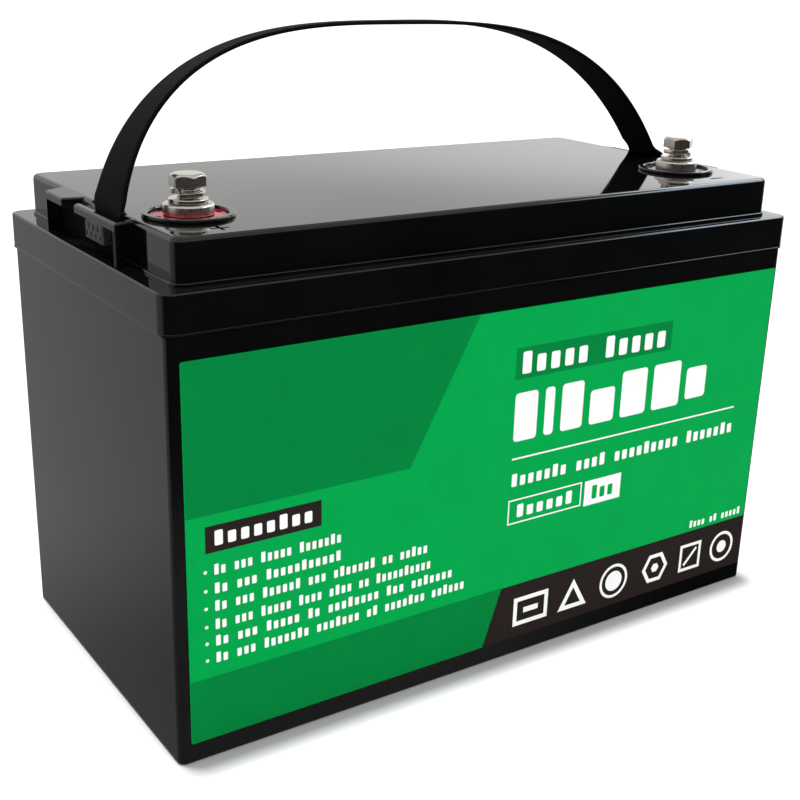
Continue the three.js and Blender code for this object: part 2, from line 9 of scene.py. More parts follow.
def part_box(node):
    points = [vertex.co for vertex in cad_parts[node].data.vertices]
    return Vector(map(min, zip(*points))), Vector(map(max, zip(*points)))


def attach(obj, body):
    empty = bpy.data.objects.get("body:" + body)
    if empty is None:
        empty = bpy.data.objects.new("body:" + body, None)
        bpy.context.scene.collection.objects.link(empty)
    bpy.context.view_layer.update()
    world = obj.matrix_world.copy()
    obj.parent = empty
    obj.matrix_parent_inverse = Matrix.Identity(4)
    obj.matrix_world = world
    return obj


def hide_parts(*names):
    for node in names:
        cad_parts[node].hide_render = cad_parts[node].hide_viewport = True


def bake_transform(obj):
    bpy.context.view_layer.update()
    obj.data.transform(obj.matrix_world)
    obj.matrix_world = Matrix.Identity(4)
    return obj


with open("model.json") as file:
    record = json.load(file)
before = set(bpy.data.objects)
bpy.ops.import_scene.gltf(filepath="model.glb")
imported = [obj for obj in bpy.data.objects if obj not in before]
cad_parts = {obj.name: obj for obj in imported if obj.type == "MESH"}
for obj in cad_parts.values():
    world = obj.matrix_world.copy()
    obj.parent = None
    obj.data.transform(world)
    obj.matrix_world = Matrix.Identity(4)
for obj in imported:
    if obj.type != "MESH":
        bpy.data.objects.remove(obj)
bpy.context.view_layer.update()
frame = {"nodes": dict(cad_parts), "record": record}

# Deep cycle battery: gloss case and lid, printed front label, webbing strap, two bolt terminals.
# Lengths below are millimetres, and Shape.build() turns them into metres.
MM = 0.001
TURN = 2 * math.pi


def box_mm(node):
    """Lowest and highest corner of a CAD node, in millimetres."""
    low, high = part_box(node)
    return low / MM, high / MM


# ---- meshes ------------------------------------------------------------------------------
class Shape:
    """Points and faces of one piece."""

    def __init__(self):
        self.points = []
        self.faces = []

    def ring(self, points):
        first = len(self.points)
        self.points.extend(points)
        return list(range(first, first + len(points)))

    def bridge(self, low, high):
        """Faces between two closed rings with the same number of points."""
        count = len(low)
        for i in range(count):
            j = (i + 1) % count
            self.faces.append((low[i], low[j], high[j], high[i]))

    def loft(self, rings, cap_first=True, cap_last=True):
        loops = [self.ring(points) for points in rings]
        for low, high in zip(loops, loops[1:]):
            self.bridge(low, high)
        if cap_first:
            self.faces.append(tuple(reversed(loops[0])))
        if cap_last:
            self.faces.append(tuple(loops[-1]))
        return loops

    def fill(self, outer, holes, z, up=True):
        """Flat face at height z inside one outline and round the outlines of its holes."""
        loops = [outer, *holes]
        flat = [self.ring([(x, y, z) for x, y in loop]) for loop in loops]
        index = [i for loop in flat for i in loop]
        flat_loops = [[Vector((x, y, 0)) for x, y in loop] for loop in loops]
        for a, b, c in tessellate_polygon(flat_loops):
            ax, ay, _ = self.points[index[a]]
            bx, by, _ = self.points[index[b]]
            cx, cy, _ = self.points[index[c]]
            turns_left = (bx - ax) * (cy - ay) - (by - ay) * (cx - ax) > 0
            order = (a, b, c) if turns_left == up else (a, c, b)
            self.faces.append(tuple(index[i] for i in order))
        return flat

    def build(self, name, material, sharp=32, weighted=True):
        mesh = bpy.data.meshes.new(name)
        mesh.from_pydata([Vector(p) * MM for p in self.points], [], self.faces)
        mesh.materials.append(material)
        mesh.validate()
        mesh.shade_smooth()
        mesh.set_sharp_from_angle(angle=math.radians(sharp))
        piece = bpy.data.objects.new(name, mesh)
        bpy.context.scene.collection.objects.link(piece)
        if weighted:
            flatten = piece.modifiers.new("even_normals", "WEIGHTED_NORMAL")
            flatten.keep_sharp = True
            flatten.weight = 80
        return piece


def place(piece, body, stands_for=()):
    """Puts a finished piece on its body, in place of the CAD nodes that it stands for."""
    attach(piece, body)
    if stands_for:
        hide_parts(*stands_for)
    return piece


def arc(cx, cy, radius, start, end, steps):
    """Points from start to end, in turns of a full circle."""
    points = []
    for i in range(steps + 1):
        angle = TURN * (start + (end - start) * i / steps)
        points.append((cx + radius * math.cos(angle), cy + radius * math.sin(angle)))
    return points


def circle(cx, cy, radius, count):
    return arc(cx, cy, radius, 0, 1 - 1 / count, count - 1)


def rounded_rectangle(length, width, radius, steps=8):
    x, y = length / 2 - radius, width / 2 - radius
    corners = ((x, y), (-x, y), (-x, -y), (x, -y))
    return [p for i, (cx, cy) in enumerate(corners)
            for p in arc(cx, cy, radius, i / 4, (i + 1) / 4, steps)]


def round_corners(corners, steps=6):
    """Closed outline through (x, y, radius) corners, each rounded off by its radius."""
    outline = []
    count = len(corners)
    for i, (x, y, radius) in enumerate(corners):
        here = Vector((x, y))
        if radius <= 0:
            outline.append((x, y))
            continue
        to_last = (Vector(corners[i - 1][:2]) - here).normalized()
        to_next = (Vector(corners[(i + 1) % count][:2]) - here).normalized()
        half = to_last.angle(to_next) / 2
        start = here + to_last * (radius / math.tan(half))
        end = here + to_next * (radius / math.tan(half))
        middle = here + (to_last + to_next).normalized() * (radius / math.sin(half))
        swing = (start - middle).angle_signed(end - middle)
        for k in range(steps + 1):
            turned = Matrix.Rotation(-swing * k / steps, 2) @ (start - middle)
            outline.append(tuple(middle + turned))
    return outline


def inset(outline, distance):
    """The outline moved inwards. It runs anticlockwise."""
    moved = []
    count = len(outline)
    for i in range(count):
        last, here, following = (Vector(outline[(i + k) % count]) for k in (-1, 0, 1))
        before = (here - last).normalized()
        after = (following - here).normalized()
        normal = Vector((-before.y - after.y, before.x + after.x))
        if normal.length < 1e-6:
            normal = Vector((-before.y, before.x))
        normal.normalize()
        share = max(normal.dot(Vector((-before.y, before.x))), 0.5)
        moved.append(tuple(here + normal * distance / share))
    return moved


def anticlockwise(outline):
    area = sum(a[0] * b[1] - b[0] * a[1] for a, b in zip(outline, outline[1:] + outline[:1]))
    return outline if area > 0 else outline[::-1]


def at_height(outline, z):
    return [(x, y, z) for x, y in outline]


def prism(shape, outline, bottom, top, edge_top=0.8, edge_bottom=0.0, steps=4):
    """Upright prism over an outline, with rounded rims."""
    outline = anticlockwise(outline)
    rings = []
    if edge_bottom > 0:
        for k in range(steps):
            angle = math.pi / 2 * k / steps
            rings.append(at_height(inset(outline, edge_bottom * (1 - math.sin(angle))),
                                   bottom + edge_bottom * (1 - math.cos(angle))))
    rings.append(at_height(outline, bottom + edge_bottom))
    rings.append(at_height(outline, top - edge_top))
    if edge_top > 0:
        for k in range(1, steps + 1):
            angle = math.pi / 2 * k / steps
            rings.append(at_height(inset(outline, edge_top * (1 - math.cos(angle))),
                                   top - edge_top * (1 - math.sin(angle))))
    shape.loft(rings, cap_last=False)
    shape.fill([p[:2] for p in rings[-1]], [], top)


def turned(shape, profile, centre, segments=96, closed=True):
    """Turns a (radius, height) profile about a vertical line through centre."""
    loops = []
    for r, z in profile:
        loops.append(shape.ring([
            (centre[0] + r * math.cos(TURN * i / segments),
             centre[1] + r * math.sin(TURN * i / segments), z) for i in range(segments)]))
    pairs = list(zip(loops, loops[1:] + (loops[:1] if closed else [])))
    for low, high in pairs:
        if low is not high:
            shape.bridge(low, high)
    return loops


# ---- materials ---------------------------------------------------------------------------
class Tree:
    """A node tree, of a material or of the world."""

    def __init__(self, tree):
        self.tree = tree

    def add(self, kind, **settings):
        node = self.tree.nodes.new(kind)
        for key, value in settings.items():
            setattr(node, key, value)
        return node

    def link(self, a, b):
        self.tree.links.new(a, b)

    def remap(self, value, low, high, start=0.3, end=0.7, **settings):
        """Takes start to end over to low to high."""
        node = self.add("ShaderNodeMapRange", **settings)
        keys = ("From Min", "From Max", "To Min", "To Max")
        for key, number in zip(keys, (start, end, low, high)):
            node.inputs[key].default_value = number
        self.link(value, node.inputs["Value"])
        return node.outputs["Result"]

    def math(self, operation, a, b):
        node = self.add("ShaderNodeMath", operation=operation)
        for socket, value in zip(node.inputs, (a, b)):
            if isinstance(value, (int, float)):
                socket.default_value = value
            else:
                self.link(value, socket)
        return node.outputs["Value"]


class Nodes(Tree):
    """A material's node tree, with its Principled shader and object coordinates."""

    def __init__(self, name):
        self.material = bpy.data.materials.new(name)
        self.material.use_nodes = True
        super().__init__(self.material.node_tree)
        self.shader = self.tree.nodes["Principled BSDF"]
        self.coordinates = self.add("ShaderNodeTexCoord").outputs["Object"]

    def set(self, **values):
        for key, value in values.items():
            self.shader.inputs[key.replace("_", " ")].default_value = value

    def noise(self, scale, detail=3.0, roughness=0.5, stretch=None, coordinates=None):
        """Noise from 0 to 1, at so many cells a metre, stretched by three factors."""
        source = coordinates or self.coordinates
        if stretch:
            mapping = self.add("ShaderNodeMapping")
            mapping.inputs["Scale"].default_value = stretch
            self.link(source, mapping.inputs["Vector"])
            source = mapping.outputs["Vector"]
        noise = self.add("ShaderNodeTexNoise")
        noise.inputs["Scale"].default_value = scale
        noise.inputs["Detail"].default_value = detail
        noise.inputs["Roughness"].default_value = roughness
        self.link(source, noise.inputs["Vector"])
        return noise.outputs["Fac"]

    def ramp(self, value, stops):
        """Colour ramp over (position, colour) stops."""
        ramp = self.add("ShaderNodeValToRGB")
        elements = ramp.color_ramp.elements
        while len(elements) < len(stops):
            elements.new(0.5)
        for element, (position, colour) in zip(elements, stops):
            element.position = position
            element.color = (*colour, 1)
        self.link(value, ramp.inputs["Fac"])
        return ramp.outputs["Color"]

    def bump(self, height, depth, strength=1.0, after=None):
        """Bump of that depth in millimetres, on top of an earlier one."""
        bump = self.add("ShaderNodeBump")
        bump.inputs["Strength"].default_value = strength
        bump.inputs["Distance"].default_value = depth * MM
        self.link(height, bump.inputs["Height"])
        if after:
            self.link(after, bump.inputs["Normal"])
        return bump.outputs["Normal"]


def varied(name, colour, roughness, metallic=0.0, tint=0.12, patches=40, rough_spread=0.04,
           bumps=(), ior=1.5, brushed=None):
    """General finish: colour patches, uneven roughness and layers of (scale, depth) bump."""
    n = Nodes(name)
    low = [c * (1 - tint) for c in colour]
    high = [min(c * (1 + tint), 1) for c in colour]
    patch = n.noise(patches, 4)
    n.link(n.ramp(patch, ((0.3, low), (0.7, high))), n.shader.inputs["Base Color"])
    fine = n.noise(patches * 4, 3, 0.6, stretch=brushed)
    n.link(n.remap(fine, roughness - rough_spread, roughness + rough_spread),
           n.shader.inputs["Roughness"])
    normal = None
    for scale, depth in bumps:
        normal = n.bump(n.noise(scale, 2, stretch=brushed), depth, after=normal)
    if normal:
        n.link(normal, n.shader.inputs["Normal"])
    n.set(Metallic=metallic, IOR=ior)
    return n.material


def gloss_black(name, roughness, haze, waviness):
    """Moulded gloss ABS: almost a mirror, slightly wavy, with faint rubbed patches."""
    n = Nodes(name)
    tone = n.noise(18, 3)
    n.link(n.ramp(tone, ((0.3, (0.0018, 0.002, 0.0022)), (0.7, (0.003, 0.0032, 0.0034)))),
           n.shader.inputs["Base Color"])
    rubbed = n.remap(n.noise(26, 5, 0.6), roughness, roughness + haze, 0.45, 0.75)
    hairlines = n.remap(n.noise(300, 2, stretch=(1, 14, 14)), 0, haze, 0.62, 0.8)
    n.link(n.math("ADD", rubbed, hairlines), n.shader.inputs["Roughness"])
    wavy = n.bump(n.noise(14, 1, 0.3), waviness)
    n.link(n.bump(n.noise(1400, 2), 0.0012, after=wavy), n.shader.inputs["Normal"])
    n.set(IOR=1.5)
    return n.material


def webbing():
    """Black nylon webbing. U runs along the strap and V across it, both in metres."""
    n = Nodes("webbing_black")
    uv = n.add("ShaderNodeUVMap", uv_map="weave").outputs["UV"]
    split = n.add("ShaderNodeSeparateXYZ")
    n.link(uv, split.inputs["Vector"])
    along, across = split.outputs["X"], split.outputs["Y"]
    rib_pitch, yarn_pitch = 0.0014, 0.0011
    ribs = n.math("SINE", n.math("MULTIPLY", along, TURN / rib_pitch), 0)
    yarns = n.math("SINE", n.math("MULTIPLY", across, TURN / yarn_pitch), 0)
    over_under = n.math("MULTIPLY", ribs, yarns)
    raised = n.math("ADD", n.math("MULTIPLY", ribs, 0.5), n.math("MULTIPLY", over_under, 0.5))
    fuzz = n.noise(2600, 3, 0.7)
    # Painted shade: the base colour follows the weave's height, darker where the weave dips and
    # lighter on the raised yarns.
    n.link(n.ramp(n.remap(raised, 0, 1, -1, 1),
                  ((0.1, (0.0012, 0.0012, 0.0012)), (0.9, (0.0035, 0.0033, 0.003)))),
           n.shader.inputs["Base Color"])
    n.link(n.remap(fuzz, 0.62, 0.85), n.shader.inputs["Roughness"])
    woven = n.bump(raised, 0.09)
    n.link(n.bump(fuzz, 0.04, after=woven), n.shader.inputs["Normal"])
    n.set(IOR=1.5, Specular_IOR_Level=0.05, Sheen_Weight=0.006, Sheen_Roughness=0.5)
    return n.material


def printed(name, colour, roughness=0.42):
    """Printed vinyl with a fine texture and slightly uneven ink."""
    n = Nodes(name)
    ink = n.noise(55, 5, 0.6)
    low = [c * 0.965 for c in colour]
    high = [min(c * 1.035, 1) for c in colour]
    n.link(n.ramp(ink, ((0.3, low), (0.7, high))), n.shader.inputs["Base Color"])
    grain = n.noise(2200, 2)
    n.link(n.remap(grain, roughness - 0.04, roughness + 0.04), n.shader.inputs["Roughness"])
    soft = n.bump(n.noise(160, 2), 0.006)
    n.link(n.bump(grain, 0.004, after=soft), n.shader.inputs["Normal"])
    n.set(IOR=1.45, Specular_IOR_Level=0.01)
    return n.material


NICKEL = (0.64, 0.585, 0.53)
finishes = {
    "case_black": gloss_black("case_black", 0.13, 0.07, 0.05),
    "lid_black": gloss_black("lid_black", 0.035, 0.03, 0.012),
    # pocket_black paints shade: a near-black, barely reflecting sheet put inside the strap pockets
    "pocket_black": varied("pocket_black", (0.003, 0.003, 0.0035), 0.7, bumps=((900, 0.04),),
                           ior=1.08),
    "gasket_rubber": varied("gasket_rubber", (0.02, 0.02, 0.02), 0.85, bumps=((900, 0.03),)),
    "label_green": printed("label_green", (0.0012, 0.335, 0.066)),
    "webbing_black": webbing(),
    "bezel_black": varied("bezel_black", (0.006, 0.006, 0.0065), 0.09, rough_spread=0.03,
                          bumps=((500, 0.004),)),
    "cup_red": varied("cup_red", (0.30, 0.006, 0.012), 0.2, bumps=((350, 0.01),)),
    "cup_black": varied("cup_black", (0.008, 0.008, 0.009), 0.16, bumps=((350, 0.01),)),
    "post_tin": varied("post_tin", (0.74, 0.70, 0.62), 0.31, 1.0, tint=0.08, patches=260,
                       rough_spread=0.07, bumps=((420, 0.03), (1800, 0.008))),
    "brass": varied("brass", (0.62, 0.45, 0.19), 0.3, 1.0, bumps=((800, 0.01),)),
    "nickel": varied("nickel", NICKEL, 0.12, 0.94, tint=0.05, patches=150, rough_spread=0.04,
                     bumps=((350, 0.008), (2400, 0.001))),
    "copper": varied("copper", (0.70, 0.29, 0.13), 0.34, 1.0, bumps=((700, 0.01),)),
    "steel": varied("steel", (0.42, 0.42, 0.43), 0.36, 1.0, bumps=((700, 0.01),)),
    "cell_blue": varied("cell_blue", (0.02, 0.1, 0.36), 0.35, bumps=((120, 0.04),)),
    "spacer_white": varied("spacer_white", (0.7, 0.66, 0.56), 0.7, bumps=((600, 0.03),)),
    "bare_aluminium": varied("bare_aluminium", (0.62, 0.63, 0.65), 0.36, 1.0,
                             bumps=((500, 0.01),), brushed=(1, 12, 1)),
    "glass_board": varied("glass_board", (0.02, 0.12, 0.05), 0.42, bumps=((1500, 0.02),)),
    "foam_grey": varied("foam_grey", (0.03, 0.03, 0.032), 0.95, bumps=((1200, 0.15),)),
    "tray_plastic": varied("tray_plastic", (0.03, 0.03, 0.035), 0.55, bumps=((900, 0.02),)),
    "connector_white": varied("connector_white", (0.74, 0.71, 0.63), 0.45, bumps=((900, 0.01),)),
    "probe_black": varied("probe_black", (0.01, 0.01, 0.01), 0.5, bumps=((900, 0.01),)),
    "cable_red": varied("cable_red", (0.4, 0.015, 0.015), 0.6, bumps=((900, 0.01),)),
    "cable_black": varied("cable_black", (0.012, 0.012, 0.012), 0.6, bumps=((900, 0.01),)),
}

for part in frame["record"]["subparts"]:
    frame["nodes"][part["node"]].data.materials.clear()
    frame["nodes"][part["node"]].data.materials.append(finishes[part["material_slot"]])

# ---- sizes taken from the CAD ------------------------------------------------------------
lid_low, lid_high = box_mm("lid")
case_low, case_high = box_mm("case")
SKIRT_LENGTH = lid_high.x - lid_low.x
SKIRT_WIDTH = lid_high.y - lid_low.y
SKIRT_BOTTOM = lid_low.z
DECK_TOP = lid_high.z
MOUNTS = {mount["name"]: mount for mount in frame["record"]["mounts"]}
SHOULDER = MOUNTS["hold_down_ledge_front"]["pos_m"][2] / MM
DECK_LENGTH = SKIRT_LENGTH - 17.2
DECK_WIDTH = SKIRT_WIDTH - 15.2
TERMINALS = {}
for side in ("positive", "negative"):
    ring_low, ring_high = box_mm(f"{side}_terminal_bezel")
    TERMINALS[side] = ((ring_low.x + ring_high.x) / 2, (ring_low.y + ring_high.y) / 2)

# ---- case --------------------------------------------------------------------------------
CASE_LENGTH = case_high.x - case_low.x
CASE_WIDTH = case_high.y - case_low.y
CASE_MOUTH = 193.2
CASE_FLOOR = 4
SEAM = SKIRT_BOTTOM - 0.3


def build_case():
    shape = Shape()
    radius, edge = 3.2, 1.3
    rings = []
    for k in range(7):
        angle = math.pi / 2 * k / 6
        cut = edge * (1 - math.sin(angle))
        rings.append(at_height(
            rounded_rectangle(CASE_LENGTH - 2 * cut, CASE_WIDTH - 2 * cut, radius - cut),
            edge * (1 - math.cos(angle))))
    rings.append(at_height(rounded_rectangle(CASE_LENGTH, CASE_WIDTH, radius), SEAM - 0.5))
    rings.append(at_height(
        rounded_rectangle(CASE_LENGTH - 0.7, CASE_WIDTH - 0.7, radius - 0.3), SEAM))
    neck = rounded_rectangle(CASE_LENGTH - 4, CASE_WIDTH - 4, radius)
    mouth = rounded_rectangle(CASE_LENGTH - 8, CASE_WIDTH - 8, radius - 1)
    rings += [at_height(neck, SEAM), at_height(neck, CASE_MOUTH), at_height(mouth, CASE_MOUTH),
              at_height(mouth, CASE_FLOOR)]
    shape.loft(rings)
    return shape.build("case_shell", finishes["case_black"])


place(build_case(), "battery", ["case"])

# ---- lid ---------------------------------------------------------------------------------
BOSS_REACH = 163.2
BOSS_HALF = 39.5
BOSS_TOP = DECK_TOP - 1.2
BOSS_SLOPE = 1.05 / 7.8
PLATE_BOTTOM = BOSS_TOP - 3.3
BAR_WIDTH = 3.2
BAR_END = 5
DECK_FACE = DECK_LENGTH / 2


def cross_outline(x, y, reach, half):
    """Plus sign outline."""
    quarter = [(half, half), (half, reach), (-half, reach)]
    outline = []
    for k in range(4):
        c, s = round(math.cos(TURN * k / 4)), round(math.sin(TURN * k / 4))
        outline += [(x + c * px - s * py, y + s * px + c * py) for px, py in quarter]
    return anticlockwise(outline)


def bar_outline(x, y, reach, half):
    return [(x - reach, y - half), (x + reach, y - half),
            (x + reach, y + half), (x - reach, y + half)]


def sink(shape, outline, top, bottom):
    """Walls and floor of a recess."""
    high, low = shape.ring(at_height(outline, top)), shape.ring(at_height(outline, bottom))
    shape.bridge(high, low)
    shape.fill(outline, [], bottom)


def build_lid():
    shape = Shape()
    skirt_radius, skirt_edge, lip = 6, 0.9, 0.2
    deck_radius, deck_edge, step, step_top = 5, 2.1, 0.7, 1.35
    rings = [at_height(rounded_rectangle(CASE_LENGTH - 3.4, CASE_WIDTH - 3.4, 3.2), SKIRT_BOTTOM)]

    def skirt_ring(cut, z):
        rings.append(at_height(rounded_rectangle(
            SKIRT_LENGTH - 2 * cut, SKIRT_WIDTH - 2 * cut, skirt_radius - cut), z))

    def deck_ring(cut, z):
        rings.append(at_height(rounded_rectangle(
            DECK_LENGTH - 2 * cut, DECK_WIDTH - 2 * cut, deck_radius - cut), z))

    quarter = [math.pi / 2 * k / 5 for k in range(6)]
    for angle in quarter:
        skirt_ring(0.3 * (1 - math.sin(angle)) - lip, SKIRT_BOTTOM + 0.3 * (1 - math.cos(angle)))
    for angle in quarter:
        skirt_ring(-lip * math.cos(angle), SKIRT_BOTTOM + 0.5 + 0.3 * math.sin(angle))
    for angle in quarter:
        skirt_ring(skirt_edge * (1 - math.cos(angle)),
                   SHOULDER - skirt_edge * (1 - math.sin(angle)))
    deck_ring(-step, SHOULDER)
    for angle in quarter:
        deck_ring(-step + 0.5 * (1 - math.cos(angle)),
                  SHOULDER + step_top - 0.5 * (1 - math.sin(angle)))
    deck_ring(0, SHOULDER + step_top)
    for angle in quarter:
        deck_ring(deck_edge * (1 - math.cos(angle)), DECK_TOP - deck_edge * (1 - math.sin(angle)))
    shape.loft(rings, cap_first=False, cap_last=False)

    holes = [circle(*centre, 16.6, 96) for centre in TERMINALS.values()]
    mark_y = TERMINALS["positive"][1] - 27
    marks = [cross_outline(TERMINALS["positive"][0], mark_y, 4, 0.8),
             bar_outline(TERMINALS["negative"][0], mark_y, 4, 0.8)]
    shape.fill([p[:2] for p in rings[-1]], holes + marks, DECK_TOP)
    for outline in holes:
        sink(shape, outline, DECK_TOP, DECK_TOP - 2.6)
    for outline in marks:
        sink(shape, outline, DECK_TOP, DECK_TOP - 0.5)
    for turn in (1, -1):
        build_boss(shape, turn)
    return shape.build("lid_cover", finishes["lid_black"])


def build_boss(shape, turn):
    """Strap boss of the left end, or with turn -1 the same half a turn about Z."""
    buried = -DECK_FACE + 1.2
    plate_end = -DECK_FACE + 2.65
    fillet, corner, wall_corner = 0.4, 1.1, 2.3

    def add(corners, bottom, top, edge_top, edge_bottom):
        outline = round_corners([(x * turn, y * turn, r) for x, y, r in corners])
        first = len(shape.points)
        prism(shape, outline, bottom, top, edge_top, edge_bottom)
        if edge_top == 0:
            return
        for i in range(first, len(shape.points)):
            x, y, z = shape.points[i]
            if z > bottom + 1:
                shape.points[i] = (x, y, z + (BOSS_REACH - abs(x)) * BOSS_SLOPE)

    slot_face = -BOSS_REACH + BAR_WIDTH
    inner_wall = BOSS_HALF - 2.5
    near_plate = [
        (plate_end, -BOSS_HALF - fillet - 0.6, 0), (-DECK_FACE, -BOSS_HALF - fillet - 0.6, 0),
        (-DECK_FACE, -BOSS_HALF, fillet), (-BOSS_REACH, -BOSS_HALF, corner),
        (-BOSS_REACH, BAR_END, 1.3), (slot_face, BAR_END, 1.3),
        (slot_face, -inner_wall, 0.9), (plate_end, -inner_wall, 0)]
    far_plate = [
        (plate_end, 12.7, 0), (-DECK_FACE, 12.7, 0), (-BOSS_REACH, 18.9, 0.9),
        (-BOSS_REACH, BOSS_HALF, corner), (-DECK_FACE, BOSS_HALF, fillet),
        (-DECK_FACE, BOSS_HALF + fillet + 0.6, 0), (plate_end, BOSS_HALF + fillet + 0.6, 0)]
    add(near_plate, PLATE_BOTTOM, BOSS_TOP, 1.0, 0.3)
    add(far_plate, PLATE_BOTTOM, BOSS_TOP, 0.85, 0.3)
    for sign in (-1, 1):
        wall = [
            (buried, sign * (BOSS_HALF + fillet + 0.6), 0),
            (-DECK_FACE, sign * (BOSS_HALF + fillet + 0.6), 0),
            (-DECK_FACE, sign * BOSS_HALF, fillet), (-BOSS_REACH, sign * BOSS_HALF, wall_corner),
            (-BOSS_REACH, sign * inner_wall, 0.4), (buried, sign * inner_wall, 0)]
        add(wall, SHOULDER - 0.5, PLATE_BOTTOM + 1.5, 0, 0)


def build_pocket_shade_sheet(turn):
    """Textured, unpolished back and floor of a strap pocket: a near-black sheet that barely reflects,
    which paints the shade inside the pocket.
    """
    shape = Shape()
    half = BOSS_HALF - 2.6
    for start, end, bottom, top in (
            (-DECK_FACE - 1, -DECK_FACE + 0.2, SHOULDER - 0.3, PLATE_BOTTOM + 0.3),
            (-BOSS_REACH + 0.2, -DECK_FACE - 0.6, SHOULDER - 0.3, SHOULDER + 0.15)):
        prism(shape, [(start * turn, -half), (end * turn, -half), (end * turn, half),
                      (start * turn, half)], bottom, top, 0.1, 0, 2)
    side = "left" if turn > 0 else "right"
    return place(shape.build(f"pocket_shade_sheet_{side}", finishes["pocket_black"]), "battery")


place(build_lid(), "battery", ["lid"])
# Near-black sheets inside the strap pockets paint the shade there.
build_pocket_shade_sheet(1)
build_pocket_shade_sheet(-1)

# ---- terminals ---------------------------------------------------------------------------
HEX_SHARPNESS = 44
SHANK_HOLE_END, POST_STEP, POST_FLANGE = 203, 195.4, 215.7


def hexagon_radius(angle, apothem, turn):
    """Distance to the side of a hexagon with slightly rounded corners."""
    total = sum(abs(math.cos(angle - turn - k * math.pi / 3)) ** HEX_SHARPNESS for k in range(3))
    return apothem / total ** (1 / HEX_SHARPNESS)


def build_bolt(name, centre, bottom, top, tip, turn):
    """Hexagon bolt: domed head with a washer face, and a threaded shank."""
    shape = Shape()
    apothem, crown, slope, segments = 6.5, 5.7, 0.72, 120
    pitch, major, depth = 1.25, 4.0, 0.66

    def ring(radius_and_height):
        points = []
        for i in range(segments):
            angle = TURN * i / segments
            r, z = radius_and_height(angle)
            points.append((centre[0] + r * math.cos(angle), centre[1] + r * math.sin(angle), z))
        return points

    def side(angle):
        return hexagon_radius(angle, apothem, turn)

    def shoulder(angle):
        return top - (side(angle) - crown) * slope

    def thread(z):
        def at(angle):
            phase = (z / pitch - angle / TURN) % 1
            valley = max(0.0, 1 - abs(phase - 0.5) / 0.42)
            fade = min(1.0, max(0.0, (bottom - 0.9 - z) / 1.2))
            fade *= min(1.0, 0.35 + (z - tip) / 1.5)
            return major - depth * valley * fade, z
        return at

    rings = [ring(lambda a: (2.9, tip)), ring(lambda a: (3.3, tip + 0.05))]
    steps = int((bottom - tip) / (pitch / 8))
    for k in range(1, steps + 1):
        rings.append(ring(thread(tip + (bottom - 0.05 - tip) * k / steps)))
    rings += [
        ring(lambda a: (6.0, bottom)), ring(lambda a: (6.25, bottom + 0.25)),
        ring(lambda a: (side(a) - 0.12, bottom + 0.3)), ring(lambda a: (side(a), bottom + 0.55)),
        ring(lambda a: (side(a), shoulder(a) - 0.16)),
        ring(lambda a: (side(a) - 0.05, shoulder(a) - 0.02)),
        ring(lambda a: (side(a) - 0.2, shoulder(a) + 0.1)),
        ring(lambda a: (crown + 0.25, top - 0.14)), ring(lambda a: (crown, top - 0.03)),
        ring(lambda a: (crown - 0.3, top)), ring(lambda a: (0.4, top))]
    shape.loft(rings)
    return shape.build(name, finishes["nickel"], sharp=40)


def build_spring_washer(name, centre, bottom, top, split):
    """One open coil of square wire, its two ends apart in height."""
    shape = Shape()
    inner, outer, wire, gap, steps = 4.45, 6.7, 1.95, 0.05, 110
    rise = top - bottom - wire
    edge = 0.22
    section = [(inner + edge, 0), (outer - edge, 0), (outer, edge), (outer, wire - edge),
               (outer - edge, wire), (inner + edge, wire), (inner, wire - edge), (inner, edge)]
    rings = []
    for i in range(steps + 1):
        share = i / steps
        angle = split + TURN * (gap / 2 + (1 - gap) * share)
        lift = bottom + rise * share
        rings.append([(centre[0] + r * math.cos(angle), centre[1] + r * math.sin(angle), lift + z)
                      for r, z in section])
    shape.loft(rings)
    return shape.build(name, finishes["nickel"], sharp=50)


def build_turned(name, finish, centre, corners):
    """Turned piece, with a profile through (radius, height, rounding) corners."""
    shape = Shape()
    turned(shape, round_corners(corners, 5), centre)
    return shape.build(name, finishes[finish], sharp=40)


def build_cup(name, finish, centre, bottom, top):
    """Insert round the post, with six oval wells."""
    shape = Shape()
    inner, outer, edge = 8.5, 15.2, 0.3
    wells = []
    for k in range(6):
        angle = TURN * k / 6
        well = []
        for x, y in circle(0, 0, 1, 28):
            px, py = 12.6 + 1.1 * x, 2.2 * y
            well.append((centre[0] + px * math.cos(angle) - py * math.sin(angle),
                         centre[1] + px * math.sin(angle) + py * math.cos(angle)))
        wells.append(anticlockwise(well))
    shape.fill(circle(*centre, outer - edge, 96), [circle(*centre, inner, 96), *wells], top)
    for well in wells:
        sink(shape, well, top, top - 1.6)
    turned(shape, [(outer - edge, top), (outer, top - edge), (outer, bottom), (inner, bottom),
                   (inner, top)], centre, closed=False)
    return shape.build(name, finishes[finish], sharp=40)


